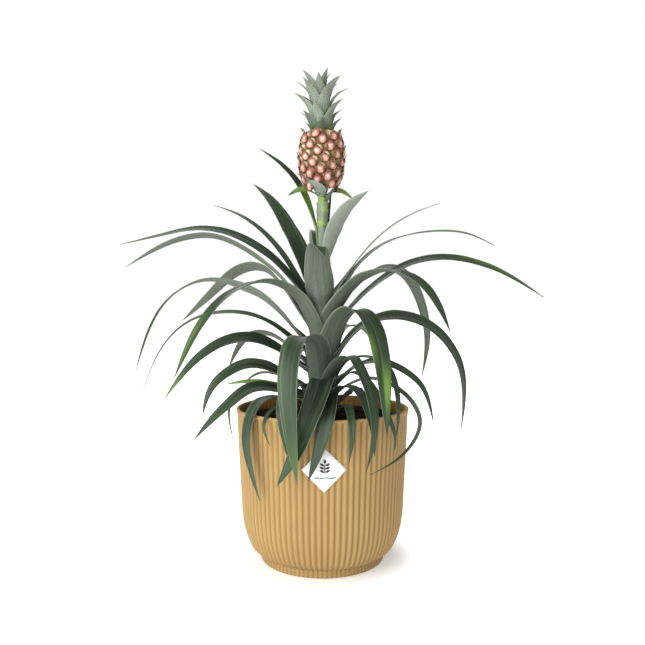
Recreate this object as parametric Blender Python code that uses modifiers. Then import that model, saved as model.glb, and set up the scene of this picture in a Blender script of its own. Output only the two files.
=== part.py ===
"""Ornamental pineapple plant in a ribbed decorative pot.

Metres, +Z up. The origin is the centre of the pot's flat underside, and -Y is the side that shows
the pot's label. Every blade of the plant is its own object, as are the stem, the fruit, the crown,
the bracts, the soil, the inner nursery pot, the decorative pot and its label.
"""

import math

import bmesh
import bpy
import numpy as np

MM = 0.001
GAP = 0.3 * MM  # between pieces that touch

# Decorative pot
POT_HEIGHT = 122.5 * MM
RIM_RADIUS = 70.0 * MM
WALL = 3.0 * MM
FOOT_RADIUS = 49.6 * MM
RIBS = 88
RIB_DEPTH = 0.8 * MM
FOOT_RIB_DEPTH = 0.5 * MM
LIP_BOTTOM = 119.0 * MM  # the ribs end here, below the plain lip
LIP_ROUND = 0.9 * MM
WAIST_RADIUS = 61.6 * MM  # the inner wall turns in below the waist
WAIST_HEIGHT = 32.0 * MM
POT_FLOOR = 4.0 * MM
POT_FLOOR_RADIUS = 46.5 * MM
SHOULDER_HEIGHT = 13.0 * MM  # inside, where the wall turns in to the floor
SHOULDER_RADIUS = 53.8 * MM
# (height, radius) of the outer wall over the crests of its ribs, from the neck to the lip
POT_OUTLINE = [
    (3.6 * MM, 50.2 * MM),
    (9.5 * MM, 55.6 * MM),
    (17.5 * MM, 60.4 * MM),
    (27.0 * MM, 63.6 * MM),
    (38.0 * MM, 65.2 * MM),
    (60.0 * MM, 66.4 * MM),
    (95.0 * MM, 68.2 * MM),
    (117.0 * MM, 69.1 * MM),
]

# Nursery pot and soil
NURSERY_RIM_RADIUS = 62.5 * MM
NURSERY_NECK_RADIUS = 60.5 * MM
NURSERY_LIP = 5.5 * MM
NURSERY_BASE_RADIUS = 44.0 * MM
NURSERY_HEIGHT = 110.2 * MM
NURSERY_WALL = 1.0 * MM
NURSERY_TURNS = 48
SOIL_TOP = 115.2 * MM
ROOT_DEPTH = 14.0 * MM

# Label on the pot's front
LABEL_HALF = 16.4 * MM
LABEL_HEIGHT = 86.5 * MM
LABEL_TURN = math.radians(-89.0)
LABEL_THICKNESS = 0.4 * MM

# Stem, fruit and crown
STEM_HEIGHTS = [0.09, 0.15, 0.19, 0.215, 0.245, 0.302]
STEM_RADII = [0.010, 0.010, 0.0085, 0.0065, 0.004, 0.0038]
STEM_TURNS = 20
FRUIT_BOTTOM = 300.0 * MM
FRUIT_TOP = 348.0 * MM
FRUIT_RADIUS = 17.6 * MM
FRUIT_RANKS = 8
FRUIT_TIERS = 7
FRUIT_X = -0.8 * MM  # the fruit stands a little off the stem's axis
CROWN_LEAFLETS = 32
GOLDEN_ANGLE = 137.5  # degrees between one leaflet and the next
# (share of its length, half width, thickness) of a leaflet's sections
LEAFLET_SECTIONS = [
    (0.0, 4.2 * MM, 1.2 * MM),
    (0.5, 4.2 * MM, 0.9 * MM),
    (1.0, 0.4 * MM, 0.3 * MM),
]

# Leaf blades
LEAF_STATIONS = 12
MOST_TWIST = 9.0  # degrees from one station to the next, so that a thin blade's two sides stay apart
RIB_THICKNESS = 1.5 * MM
EDGE_THICKNESS = 0.5 * MM
BLADE_TAPER = 3.0

GREEN = (0.045, 0.09, 0.045)
LIME = (0.22, 0.42, 0.06)
GREY_GREEN = (0.22, 0.28, 0.21)


def stem_radius(height):
    """Radius of the stem, wrapped in the sheaths of its leaves, at a height in metres."""
    return float(np.interp(height, STEM_HEIGHTS, STEM_RADII))


# Each blade: azimuth of its base in degrees (0 is +X, 90 is +Y), width in mm, roll and twist in
# degrees, base height in mm, then stops along its midrib, each (reach, height) in mm in the upright
# plane of that azimuth, with a third value where the blade swings sideways out of that plane.
LEAVES = {
    "leaf_left_top_slim": (172, 8.5, -35, 0, 267, [(17, 299), (33, 319), (52, 333)]),
    "leaf_left_top_broad": (135, 17.5, -15, 0, 208, [(21, 241), (41, 271), (63, 296), (88, 314)]),
    "leaf_left_slim_upright": (140, 5.5, -30, 0, 198, [(32, 234), (69, 270), (102, 288), (132, 298)]),
    "leaf_left_long": (
        170, 10.5, -35, 0, 204,
        [(33, 235), (65, 259), (100, 269), (140, 264), (175, 257)],
    ),
    "leaf_left_long_pale": (
        158, 9.5, 35, 0, 194,
        [(35, 226), (66, 249), (100, 264), (142, 262), (195, 240)],
    ),
    "leaf_left_back_pale": (
        140, 13, 40, 0, 184,
        [(42, 219), (69, 237), (97, 237), (132, 219), (181, 189)],
    ),
    "leaf_left_turned": (
        150, 11, 100, -180, 168,
        [(36, 194), (60, 212), (89, 223), (123, 227), (171, 207), (210, 140)],
    ),
    "leaf_left_arched": (
        212, 16.5, 20, -55, 183,
        [(21, 209), (38, 221, -2), (57, 223, -3), (83, 211, -7), (120, 151, -15)],
    ),
    "leaf_left_thread": (
        170, 6, -30, 0, 164,
        [(30, 181), (51, 194), (85, 199), (118, 189), (140, 167), (157, 130)],
    ),
    "leaf_left_middle": (
        190, 14, -38, 0, 150,
        [(35, 169), (59, 179), (79, 176), (100, 163), (126, 131)],
    ),
    "leaf_left_middle_pale": (
        150, 10, 35, 0, 154,
        [(40, 175), (60, 181), (77, 176), (88, 164), (96, 149)],
    ),
    "leaf_left_hooked": (200, 13, -38, 0, 136, [(39, 153), (60, 159), (78, 153), (91, 141), (98, 120)]),
    "leaf_left_small_pale": (148, 6, 30, 0, 136, [(47, 146), (64, 146), (82, 136)]),
    "leaf_left_lime": (168, 9, -30, 0, 130, [(44, 139), (62, 141), (84, 138)]),
    "leaf_left_low": (208, 13, -35, 0, 128, [(41, 139), (62, 141), (78, 132), (93, 120), (108, 105)]),
    "leaf_left_hanging": (
        222, 14, 0, 0, 122,
        [(47, 134), (64, 132), (74, 118), (76, 85, 5), (72, 61, 11)],
    ),
    "leaf_left_curled": (
        165, 7, 20, 0, 122,
        [(52, 136, 2), (72, 132, 5), (78, 120, 8), (77, 108, 11), (73, 93, 13)],
    ),
    "leaf_left_tucked": (231, 5, 0, 0, 117.6, [(42, 126.5), (66, 126, 3), (75, 117, 6), (75, 104, 12)]),
    "leaf_front_left": (
        -100, 20.5, 0, 0, 144,
        [(20, 166), (41, 180, -1), (60, 181, -7), (76, 166, -10), (86, 139, -9), (84, 80, -3)],
    ),
    "leaf_front_middle": (
        -88, 20, 0, 0, 132,
        [(30, 147), (46, 149, -2), (65, 138, -7), (76, 124, -13), (78, 110, -18), (75, 77, -35)],
    ),
    "leaf_front_tucked": (
        -116, 13, 0, 0, 126,
        [(36, 144), (60, 140), (73, 128, 4), (74, 105, 8), (71, 88, 10)],
    ),
    "leaf_front_low": (
        -80, 16, 0, 0, 120,
        [(33, 136, -1), (56, 134, -6), (71, 124, -10), (75, 103, -16), (73, 81, -23)],
    ),
    "leaf_front_small": (
        -66, 8, 0, 0, 118,
        [(40, 126.5), (61, 130, -6), (74, 119, -10), (73, 92, -12)],
    ),
    "leaf_front_right": (
        -58, 20, -10, 15, 156,
        [(16, 181), (33, 199), (53, 201), (72, 187, -1), (85, 166, -4), (93, 113, -5)],
    ),
    "leaf_front_right_inner": (
        -62, 10, 0, 0, 142,
        [(27, 161), (45, 166), (65, 156, -2), (79, 140, -3), (84, 121, -3), (79, 86, -7)],
    ),
    "leaf_front_right_low": (
        -60, 10, 0, 0, 130,
        [(33, 142), (52, 141), (70, 131, -3), (79, 116, -4), (81, 97, -4)],
    ),
    "leaf_right_folded": (
        -35, 8, 0, 0, 146,
        [(22, 160), (41, 165, -1), (61, 159, -3), (72, 145, -8), (76, 131, -11), (74, 105, -11)],
    ),
    "leaf_right_forked": (
        -48, 7, 0, 0, 138,
        [(36, 153, -2), (60, 145, -5), (76, 127, -6), (81, 108, -2), (76, 94, 1)],
    ),
    "leaf_right_ribbon": (
        -26, 4, 20, 60, 134,
        [(39, 147, -1), (69, 140, -6), (80, 131, -8), (86, 119, -10), (82, 101, -20), (63, 85, -54)],
    ),
    "leaf_right_low": (-25, 8.5, 30, 0, 142, [(29, 156), (48, 161), (66, 156), (82, 145), (93, 115)]),
    "leaf_right_top": (-30, 15.5, -30, 0, 243, [(8, 257), (15, 271, -2), (27, 284, -3), (43, 293, -4)]),
    "leaf_right_sliver": (60, 4, 0, 0, 253, [(10, 281), (15, 300)]),
    "leaf_right_hair": (32, 4, -30, 0, 209, [(27, 234), (56, 263), (97, 287), (125, 297)]),
    "leaf_right_slim": (8, 6, 35, -60, 201, [(27, 235), (52, 256), (90, 266), (125, 264), (146, 255)]),
    "leaf_right_long": (
        -15, 12, 32, 0, 188,
        [(27, 207), (51, 227), (79, 240), (113, 240), (143, 229), (171, 211)],
    ),
    "leaf_right_broad": (-38, 16, -20, 40, 194, [(23, 214), (47, 229), (73, 230), (97, 216), (115, 186)]),
    "leaf_right_back_pale": (
        40, 12.5, -20, 0, 192,
        [(36, 222), (72, 238), (98, 232), (118, 209), (128, 177), (121, 138)],
    ),
    "leaf_right_arched": (
        -8, 14, 35, 0, 160,
        [(27, 184), (48, 195), (71, 195), (92, 184), (109, 160), (111, 105)],
    ),
    "leaf_centre_sheath": (
        -100, 24, 0, 0, 203,
        [(15, 224, -1), (24, 241), (36, 250, 3), (47, 241, 10)],
    ),
    "leaf_back_right": (58, 13, 0, 0, 166, [(25, 182), (52, 187), (84, 177), (105, 147)]),
    "leaf_back_top": (98, 15, 0, 0, 240, [(14, 259), (27, 268), (48, 264), (66, 246)]),
    "leaf_back_middle": (92, 15, 0, 0, 176, [(24, 198), (50, 206), (82, 190), (104, 154)]),
    "leaf_back_left_low": (108, 13, 0, 0, 148, [(30, 164), (58, 168), (86, 152), (99, 118)]),
    "leaf_back_right_low": (86, 13, 0, 0, 134, [(34, 146), (60, 146), (80, 130), (90, 100)]),
}

WITHERED_LEAF = (64, 8, 0, 0, 120, [(49, 126), (78, 128), (95, 118)])

BRACTS = {
    "bract_left": (200, 6.5, -50, 0, 294.5, [(15, 298), (29, 292)]),
    "bract_hooked": (230, 2.6, 0, 0, 294, [(11, 298.5), (19, 304.5), (30.5, 306.5)]),
    "bract_front": (-90, 8.5, 0, 0, 293.5, [(11, 296.5, -1), (18, 303, -11)]),
    "bract_small": (-42, 4.5, 0, 0, 290, [(9, 294.5), (13, 299)]),
    "bract_right": (12, 6, 55, 0, 295.5, [(12, 298), (26, 291)]),
}


def collection(name):
    made = bpy.data.collections.new(name)
    bpy.context.scene.collection.children.link(made)
    return made


def material(name, colour, roughness, metallic=0.0):
    made = bpy.data.materials.new(name)
    made.use_nodes = True
    shader = made.node_tree.nodes["Principled BSDF"]
    shader.inputs["Base Color"].default_value = (*colour, 1.0)
    shader.inputs["Roughness"].default_value = roughness
    shader.inputs["Metallic"].default_value = metallic
    return made


def object_from(mesh, name, surface, home):
    made = bpy.data.objects.new(name, mesh)
    mesh.materials.append(surface)
    home.objects.link(made)
    mesh.shade_smooth()
    mesh.set_sharp_from_angle(angle=math.radians(40))
    return made


def skinned(rings, name, surface, home):
    """An object whose skin joins rings of points, all of one length and running the same way round."""
    shape = bmesh.new()
    loops = [[shape.verts.new(point) for point in ring] for ring in rings]
    for lower, upper in zip(loops, loops[1:]):
        for i in range(len(lower)):
            j = (i + 1) % len(lower)
            shape.faces.new((lower[i], lower[j], upper[j], upper[i]))
    shape.faces.new(loops[0][::-1])
    shape.faces.new(loops[-1])
    bmesh.ops.recalc_face_normals(shape, faces=shape.faces)
    mesh = bpy.data.meshes.new(name)
    shape.to_mesh(mesh)
    shape.free()
    return object_from(mesh, name, surface, home)


def turned(profile, turns, name, surface, home):
    """A solid turned about the Z axis from a (radius, height) profile that runs down its outside."""
    mesh = bpy.data.meshes.new(name)
    points = [(r, 0.0, z) for r, z in profile]
    mesh.from_pydata(points, [(i, i + 1) for i in range(len(points) - 1)], [])
    made = object_from(mesh, name, surface, home)
    screw = made.modifiers.new("turned", "SCREW")
    screw.steps = turns
    screw.render_steps = turns
    screw.use_merge_vertices = True
    screw.merge_threshold = 0.01 * MM
    return made


def crest_radius(height):
    """Radius of the pot over the crests of its ribs, at a height between the neck and the lip."""
    heights, radii = zip(*POT_OUTLINE)
    return float(np.interp(height, heights, radii))


def ribbed_ring(radius, height, depth):
    """A ring with a crest on every rib and a groove between ribs."""
    points = []
    for i in range(2 * RIBS):
        angle = math.pi * i / RIBS
        r = radius - (depth if i % 2 else 0.0)
        points.append((r * math.cos(angle), r * math.sin(angle), height))
    return points


def build_pot(home):
    surface = material("butter_plastic", (0.58, 0.40, 0.17), 0.45)
    rings = [
        ribbed_ring(FOOT_RADIUS, 0.0, FOOT_RIB_DEPTH),
        ribbed_ring(FOOT_RADIUS + 0.2 * MM, 1.2 * MM, FOOT_RIB_DEPTH),
    ]
    rings += [ribbed_ring(r, z, RIB_DEPTH) for z, r in POT_OUTLINE]
    inner = RIM_RADIUS - WALL
    plain_wall = [
        (RIM_RADIUS - 0.1 * MM, LIP_BOTTOM),
        (RIM_RADIUS - 0.2 * MM, POT_HEIGHT - LIP_ROUND),
        (RIM_RADIUS - LIP_ROUND, POT_HEIGHT),
        (inner + LIP_ROUND, POT_HEIGHT),
        (inner, POT_HEIGHT - LIP_ROUND),
        (WAIST_RADIUS, WAIST_HEIGHT),
        (SHOULDER_RADIUS, SHOULDER_HEIGHT),
        (POT_FLOOR_RADIUS, POT_FLOOR),
    ]
    rings += [ribbed_ring(r, z, 0.0) for r, z in plain_wall]
    return skinned(rings, "decorative_pot", surface, home)


def build_nursery_pot(home):
    surface = material("black_plastic", (0.02, 0.02, 0.02), 0.5)
    base = POT_FLOOR + GAP
    top = base + NURSERY_HEIGHT
    profile = [
        (0.0, base + NURSERY_WALL),
        (NURSERY_BASE_RADIUS - NURSERY_WALL, base + NURSERY_WALL),
        (NURSERY_NECK_RADIUS - NURSERY_WALL, top - NURSERY_LIP - NURSERY_WALL),
        (NURSERY_RIM_RADIUS - NURSERY_WALL, top),
        (NURSERY_RIM_RADIUS, top),
        (NURSERY_RIM_RADIUS, top - NURSERY_LIP),
        (NURSERY_NECK_RADIUS, top - NURSERY_LIP - 0.5 * MM),
        (NURSERY_BASE_RADIUS, base),
        (0.0, base),
    ]
    return turned(profile, NURSERY_TURNS, "nursery_pot", surface, home)


def build_soil(home):
    surface = material("potting_soil", (0.03, 0.02, 0.015), 0.95)
    inset = NURSERY_WALL + GAP + 0.5 * MM
    socket = stem_radius(SOIL_TOP) + GAP
    profile = [
        (0.0, SOIL_TOP - ROOT_DEPTH),
        (socket, SOIL_TOP - ROOT_DEPTH),
        (socket, SOIL_TOP),
        (socket + 12 * MM, SOIL_TOP),
        (NURSERY_NECK_RADIUS - inset - 3 * MM, SOIL_TOP - 1.5 * MM),
        (NURSERY_NECK_RADIUS - inset, SOIL_TOP - NURSERY_LIP),
        (NURSERY_BASE_RADIUS - inset, POT_FLOOR + GAP + NURSERY_WALL + GAP),
        (0.0, POT_FLOOR + GAP + NURSERY_WALL + GAP),
    ]
    return turned(profile, NURSERY_TURNS, "root_ball_soil", surface, home)


def build_label(home):
    """A thin square label, standing on one corner and bent round the crests of the ribs."""
    surface = material("label_paper", (0.9, 0.9, 0.88), 0.4)
    steps = 10
    turn = LABEL_HALF / crest_radius(LABEL_HEIGHT)
    rings = []
    for i in range(steps + 1):
        across = -1 + 2 * i / steps
        half = max(LABEL_HALF * (1 - abs(across)), 0.15 * MM)
        angle = LABEL_TURN + across * turn
        ring = []
        for lift, up in ((0, -1), (LABEL_THICKNESS, -1), (LABEL_THICKNESS, 1), (0, 1)):
            height = LABEL_HEIGHT + up * half
            r = crest_radius(height) + GAP + lift
            ring.append((r * math.cos(angle), r * math.sin(angle), height))
        rings.append(ring)
    return skinned(rings, "pot_label", surface, home)


def build_stem(home):
    surface = material("stem_green", LIME, 0.5)
    foot = SOIL_TOP - ROOT_DEPTH + GAP
    top = FRUIT_BOTTOM - GAP
    heights = [top, *(h for h in reversed(STEM_HEIGHTS) if foot < h < top), foot]
    profile = [(0.0, top), *((stem_radius(z), z) for z in heights), (0.0, foot)]
    return turned(profile, STEM_TURNS, "stem", surface, home)


def route_points(azimuth, base, route):
    """The blade's midrib as points in metres, from the stem outwards."""
    angle = math.radians(azimuth)
    outward = np.array([math.cos(angle), math.sin(angle), 0.0])
    sideways = np.array([-math.sin(angle), math.cos(angle), 0.0])
    start = (stem_radius(base * MM) / MM + 1.6, base)
    points = []
    for reach, height, *aside in [start, *route]:
        point = outward * reach + sideways * sum(aside)
        point[2] = height
        points.append(point * MM)
    return np.array(points)


def smooth_curve(points, count):
    """count points, evenly spaced, on the natural cubic spline through the given points."""
    gaps = np.linalg.norm(np.diff(points, axis=0), axis=1)
    knots = np.concatenate([[0.0], np.cumsum(gaps)])
    n = len(points)
    system = np.eye(n)
    right = np.zeros((n, 3))
    for i in range(1, n - 1):
        system[i, i - 1 : i + 2] = gaps[i - 1], 2 * (gaps[i - 1] + gaps[i]), gaps[i]
        right[i] = 6 * ((points[i + 1] - points[i]) / gaps[i] - (points[i] - points[i - 1]) / gaps[i - 1])
    bends = np.linalg.solve(system, right)
    found = []
    for s in np.linspace(0.0, knots[-1], count):
        k = min(int(np.searchsorted(knots, s, side="right")) - 1, n - 2)
        h = gaps[k]
        a, b = (knots[k + 1] - s) / h, (s - knots[k]) / h
        curve = a * points[k] + b * points[k + 1]
        curve += ((a**3 - a) * bends[k] + (b**3 - b) * bends[k + 1]) * h * h / 6
        found.append(curve)
    return np.array(found)


def unit(vector):
    return vector / np.linalg.norm(vector)


def blade_frames(curve, azimuth, roll, twist):
    """(side, face) along the midrib. Before roll and twist the face looks up and in to the stem."""
    angle = math.radians(azimuth)
    side = np.array([-math.sin(angle), math.cos(angle), 0.0])
    frames = []
    for i, along in enumerate(np.gradient(curve, axis=0)):
        along = unit(along)
        side = unit(side - along * side.dot(along))
        share = i / (len(curve) - 1)
        turn = math.radians(roll * min(1.0, 3 * share) + twist * share**2 * (3 - 2 * share))
        turned = side * math.cos(turn) + np.cross(along, side) * math.sin(turn)
        frames.append((turned, np.cross(along, turned)))
    return frames


def blade_half_width(share, width):
    """Half the blade's width: narrow where it leaves the stem, then a long taper to a sharp tip."""
    neck = np.interp(share, (0.0, 0.2), (0.5, 1.0))
    taper = (1 - share**BLADE_TAPER) ** 0.9
    return max(width * MM / 2 * neck * taper, 0.25 * MM)


def build_blade(name, blade, surface, home):
    """A gutter-shaped leaf blade: its edges stand up from the midrib, most of all at the base."""
    azimuth, width, roll, twist, base, route = blade
    stations = max(LEAF_STATIONS, round(abs(twist) / MOST_TWIST))
    curve = smooth_curve(route_points(azimuth, base, route), stations)
    rings = []
    for i, (centre, (side, face)) in enumerate(zip(curve, blade_frames(curve, azimuth, roll, twist))):
        share = i / (stations - 1)
        half = blade_half_width(share, width)
        rise = half * (0.28 - 0.15 * share)
        rib = RIB_THICKNESS * (1 - 0.5 * share) / 2
        edge = EDGE_THICKNESS * (1 - 0.4 * share) / 2
        upper = ((-half, rise + edge), (0.0, rib - rise), (half, rise + edge))
        lower = ((half, rise - edge), (0.0, -rib - rise), (-half, rise - edge))
        rings.append([tuple(centre + side * across + face * up) for across, up in upper + lower])
    return skinned(rings, name, surface, home)


def build_leaves(home):
    fresh = material("leaf_green", GREEN, 0.42)
    dry = material("dry_leaf_brown", (0.05, 0.035, 0.02), 0.8)
    for name, blade in LEAVES.items():
        build_blade(name, blade, fresh, home)
    build_blade("leaf_withered", WITHERED_LEAF, dry, home)


def build_bracts(home):
    surface = material("bract_green", GREY_GREEN, 0.45)
    for name, blade in BRACTS.items():
        build_blade(name, blade, surface, home)


def fruit_radius(share):
    """Radius of the fruit's body at a share of its height."""
    return FRUIT_RADIUS * (1 - abs(2 * share - 1.08) ** 2.6 * 0.42)


def build_fruit(home):
    """The fruit with its eyes as staggered bosses, one ring of bosses to a tier."""
    surface = material("fruit_pink", (0.62, 0.25, 0.17), 0.5)
    levels = 2 * FRUIT_TIERS
    rings = []
    for level in range(levels + 1):
        height = np.interp(level, (0, levels), (FRUIT_BOTTOM, FRUIT_TOP))
        ring = []
        for i in range(2 * FRUIT_RANKS):
            angle = math.pi * i / FRUIT_RANKS
            boss = 1.06 if (i + level) % 2 else 0.97
            r = fruit_radius(level / levels) * boss
            ring.append((FRUIT_X + r * math.cos(angle), r * math.sin(angle), height))
        rings.append(ring)
    return skinned(rings, "fruit", surface, home)


def build_leaflet(name, share, angle, surface, home):
    """One leaflet of the crown, rooted in the core at a share of the crown's height."""
    outward = np.array([math.cos(angle), math.sin(angle), 0.0])
    side = np.array([-math.sin(angle), math.cos(angle), 0.0])
    root = FRUIT_TOP + GAP + np.interp(share, (0, 1), (2.5, 24)) * MM
    core = np.interp(share, (0, 1), (5.5, 1.5)) * MM
    reach = np.interp(share, (0, 0.55, 1), (17, 22, 8)) * MM
    lift = np.interp(share, (0, 0.5, 1), (5, 14, 23)) * MM
    rings = []
    for part, half_width, thickness in LEAFLET_SECTIONS:
        bow = 2.0 * MM * part * (1 - part)
        centre = outward * (core + (reach - core) * part + bow)
        centre += np.array([FRUIT_X, 0.0, root + lift * part - bow])
        across = side * half_width
        thick = np.array([0.0, 0.0, thickness]) - outward * 0.5 * thickness
        ring = (centre - across + thick, centre - thick, centre + across + thick, centre + thick * 1.4)
        rings.append([tuple(point) for point in ring])
    return skinned(rings, name, surface, home)


def build_crown(home, cutters):
    """The fruit's leafy crown: a tapering core with a spiral of short pointed leaflets grown on it."""
    surface = material("crown_green", GREY_GREEN, 0.5)
    outline = ((0, 38), (1, 38), (4.5, 24), (7.5, 10), (8, 0), (0, 0))
    profile = [(r * MM, FRUIT_TOP + GAP + up * MM) for r, up in outline]
    core = turned(profile, 14, "crown", surface, home)
    core.location.x = FRUIT_X
    for i in range(CROWN_LEAFLETS):
        angle = math.radians(GOLDEN_ANGLE * i + 40)
        build_leaflet(f"crown_leaflet_{i:02d}", i / (CROWN_LEAFLETS - 1), angle, surface, cutters)
    joined = core.modifiers.new("leaflets", "BOOLEAN")
    joined.operation = "UNION"
    joined.operand_type = "COLLECTION"
    joined.collection = cutters
    joined.solver = "EXACT"
    return core


def hide_helpers(cutters):
    for helper in cutters.objects:
        helper.hide_render = True
        helper.display_type = "WIRE"


def main():
    for old in list(bpy.data.objects):
        bpy.data.objects.remove(old)
    home = collection("potted_pineapple_plant")
    cutters = collection("joined_into_crown")
    build_pot(home)
    build_nursery_pot(home)
    build_soil(home)
    build_label(home)
    build_stem(home)
    build_leaves(home)
    build_bracts(home)
    build_fruit(home)
    build_crown(home, cutters)
    hide_helpers(cutters)


main()
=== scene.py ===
"""Looks of an ornamental pineapple plant in a ribbed decorative pot, built round its CAD model.

Metres, +Z up. The origin is the centre of the pot's underside, and -Y is the front, with the label.
Every CAD leaf, bract, the stem, the fruit, the crown, the soil, the pot and the label are replaced by
finer pieces that follow the same midribs and outlines. Only the nursery pot keeps its CAD shape.
"""

import math

import bpy
import numpy as np
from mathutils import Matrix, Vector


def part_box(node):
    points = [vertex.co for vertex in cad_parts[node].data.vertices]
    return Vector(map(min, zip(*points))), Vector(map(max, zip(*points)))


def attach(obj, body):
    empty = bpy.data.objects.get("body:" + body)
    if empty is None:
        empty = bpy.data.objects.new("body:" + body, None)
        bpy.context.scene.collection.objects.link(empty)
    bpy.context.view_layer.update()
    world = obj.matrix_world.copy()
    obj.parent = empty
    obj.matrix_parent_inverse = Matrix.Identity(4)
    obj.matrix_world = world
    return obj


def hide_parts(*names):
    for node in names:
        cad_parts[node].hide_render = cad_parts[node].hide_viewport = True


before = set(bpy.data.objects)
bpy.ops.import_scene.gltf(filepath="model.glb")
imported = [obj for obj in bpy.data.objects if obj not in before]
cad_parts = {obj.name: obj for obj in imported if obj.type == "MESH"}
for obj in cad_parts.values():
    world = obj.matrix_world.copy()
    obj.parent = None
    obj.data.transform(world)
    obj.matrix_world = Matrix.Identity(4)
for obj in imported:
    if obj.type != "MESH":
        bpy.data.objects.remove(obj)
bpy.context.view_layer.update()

MM = 0.001
BODY = "root"

# Leaf blades
STATIONS = 56  # along a blade
ACROSS = 11  # points over its upper face, and as many under it
RIB_THICKNESS = 1.1 * MM
EDGE_THICKNESS = 0.35 * MM
BLADE_TAPER = 3.0
FINEST_HALF = 0.24 * MM  # half the width of a blade's very tip
BROAD = 15.0  # width in mm from which a blade shows its fine veins and margin in full
CLASP_STATIONS = 9  # along the part of a leaf that clasps the stem
CLASP_LENGTH = 22.0 * MM

# Decorative pot
POT_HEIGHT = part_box("decorative_pot")[1][2]
RIM_RADIUS = 70.0 * MM
FOOT_RADIUS = 49.6 * MM
WALL = 3.0 * MM
LIP_ROUND = 1.1 * MM  # how high the top of the lip bulges
RIBS = 88
RIB_DEPTH = 1.0 * MM
RIB_POINTS = 12  # points round one rib
INNER_RIB_DEPTH = 0.6 * MM
LIP_BOTTOM = 120.8 * MM
LIP_FLARE = 0.7 * MM  # how far it stands out from the top of the ribs
# (radius beyond the foot's, height) in mm of the ring it stands on, up to the crease under the ribs
FOOT_RING = [(-0.9, 0.0), (-0.2, 0.3), (0.2, 1.0), (0.4, 2.4), (0.4, 4.4), (0.3, 5.3), (0.1, 5.8)]
# (radius, height) in mm inside: below the rim, where the ribs end, at the shoulder, and round the floor
INSIDE_TOP, INSIDE_LOW, SHOULDER, INSIDE_FLOOR = (66.9, 121), (61.6, 32), (53.8, 13), (46.5, 4.0)
# (height, radius) of the outer wall over the crests of its ribs
POT_OUTLINE = [
    (z * MM, r * MM)
    for z, r in (
        (6.2, 50.2), (9.5, 55.4), (17.5, 60.4), (27.0, 63.6),
        (38.0, 65.2), (60.0, 66.4), (95.0, 68.2), (117.0, 69.1),
    )
]

# Label
LABEL_TURN = math.radians(-89.0)
LABEL_HALF = 16.4 * MM
LABEL_HEIGHT = 86.5 * MM

# Stem, fruit and crown
STEM_HEIGHTS = [0.09, 0.15, 0.19, 0.215, 0.245, 0.302]
STEM_RADII = [0.010, 0.010, 0.0085, 0.0065, 0.004, 0.0038]
SOIL_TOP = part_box("root_ball_soil")[1][2]
FRUIT_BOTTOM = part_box("fruit")[0][2]
FRUIT_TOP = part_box("fruit")[1][2]
FRUIT_RADIUS = 17.6 * MM
FRUIT_DIP = 3.0 * MM  # how far its top sinks inside the lowest leaflets of the crown
FRUIT_X = -0.8 * MM
EYES = 66
EYE_RISE = 1.6 * MM  # of its dome over the body
SEAM_DEPTH = 0.5 * MM
SCALE_HALF = 5.0 * MM
SCALE_ROOT = 4.6 * MM  # how far below the middle of its eye a scale starts
SCALE_STEPS = 9  # along a scale, and as many points across each face
TURN = math.radians(-137.5)  # from one eye or leaflet to the next
LEAFLETS = 30
LEAFLET_STATIONS = 18
LEAFLET_THICKNESS = (0.8 * MM, 0.25 * MM)  # at the midrib and at the margins

# Stalk
STALK_RIM = 288.2 * MM  # the stalk is bare above this height
STALK_WRAP = 0.9 * MM
# (height, azimuth it faces in degrees, swelling) of the stalk's nodes
STALK_NODES = [
    (288.0 * MM, -90, 0.5 * MM),
    (281.0 * MM, -35, 0.5 * MM),
    (269.5 * MM, -115, 0.6 * MM),
    (247.0 * MM, -60, 0.4 * MM),
]

# Crown, from its lowest leaflet at share 0 to its highest at share 1
CROWN_START = 0.9  # azimuth of the lowest leaflet, in radians
CROWN_LEAN = 0.03
CROWN_SINK = 5.0 * MM  # how far its base sits below the top of the CAD fruit
# (share, height of the root, radius of the core, reach, height of the tip, width) of a leaflet, in mm
CROWN_ROWS = [
    (0.0, 0.5, 8.6, 16.5, 8.5, 10.0),
    (0.3, 6.0, 8.2, 19.5, 22.5, 13.5),
    (0.55, 13.0, 6.0, 23.0, 38.0, 15.0),
    (0.8, 19.0, 3.4, 18.0, 46.5, 13.5),
    (1.0, 23.0, 1.2, 9.0, 49.5, 9.5),
]
# (radius, height) in mm of the core
CROWN_CORE = [(0.5, 0.0), (9.0, 0.0), (8.6, 6.0), (7.0, 14.0), (3.6, 24.0), (1.2, 32.0), (0.2, 36.0)]

# Soil
SOIL_RINGS = 34
SOIL_COUNT = 120  # points round each ring
SOIL_WAVES = 14
CRUMBS = 2600
CRUMB_SIZES = (0.5, 0.8, 1.2, 1.9)  # in mm
CRUMB_ODDS = (0.35, 0.35, 0.22, 0.08)

# Stage
CAMERA_PLACE = (0.0, -0.547, 0.206)
CAMERA_TILT = math.radians(88.4)
LENS = 37.5
AIM = (0.0, 0.0, 0.18)
# (name, place, size, power)
LIGHTS = [
    ("key", (-0.85, -1.1, 0.8), 1.9, 29.0),
    ("fill", (0.9, -0.8, 0.45), 0.9, 0.4),
    ("back", (-0.3, 0.9, 0.9), 0.9, 4.0),
]
ROOM_LIGHT = 0.38
FLOOR_HALF = 12.0
FLOOR_FADE = (0.056, 0.098)  # distances from the plant's middle over which the floor's glow rises
FLOOR_GLOW = (0.33, 1.0)  # its strength at those two distances
FLOOR_BOUNCE = 0.5  # share of the glow that lights the plant

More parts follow.
